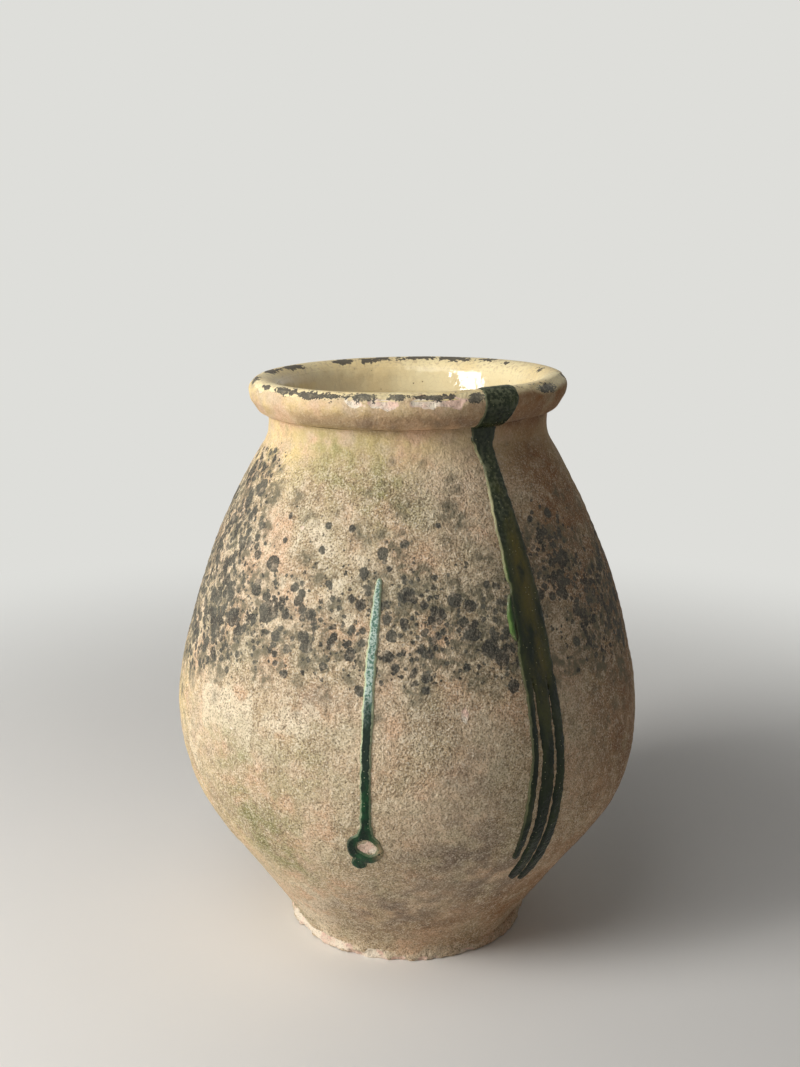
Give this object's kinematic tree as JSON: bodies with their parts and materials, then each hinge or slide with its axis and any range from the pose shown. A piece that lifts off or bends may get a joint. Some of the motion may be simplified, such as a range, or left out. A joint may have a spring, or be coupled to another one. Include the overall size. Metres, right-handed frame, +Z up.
{
  "type": "olive jar",
  "caption": "Bulbous earthenware storage jar with a thick everted rim, a low narrow foot, a yellow glazed inside and green glaze runs down its side.",
  "frame": {"origin": "centre of the foot, on the surface the jar stands on", "axes": "+Z up along the jar's axis, -Y towards the side with the green runs"},
  "size_m": [0.5759, 0.576, 0.7025],
  "materials": {
    "clay": "unglazed, rough and weathered",
    "yellow_glaze": "glossy, worn at the lip",
    "green_glaze": "satin to glossy"
  },
  "bodies": {
    "root": {"base_slab": "clay", "floor_coil": "clay", "lower_wall": "clay", "upper_wall": "clay", "rim_roll": "clay", "inner_glaze": "yellow_glaze", "main_green_run": "green_glaze", "small_green_run": "green_glaze"}
  },
  "joints": []
}
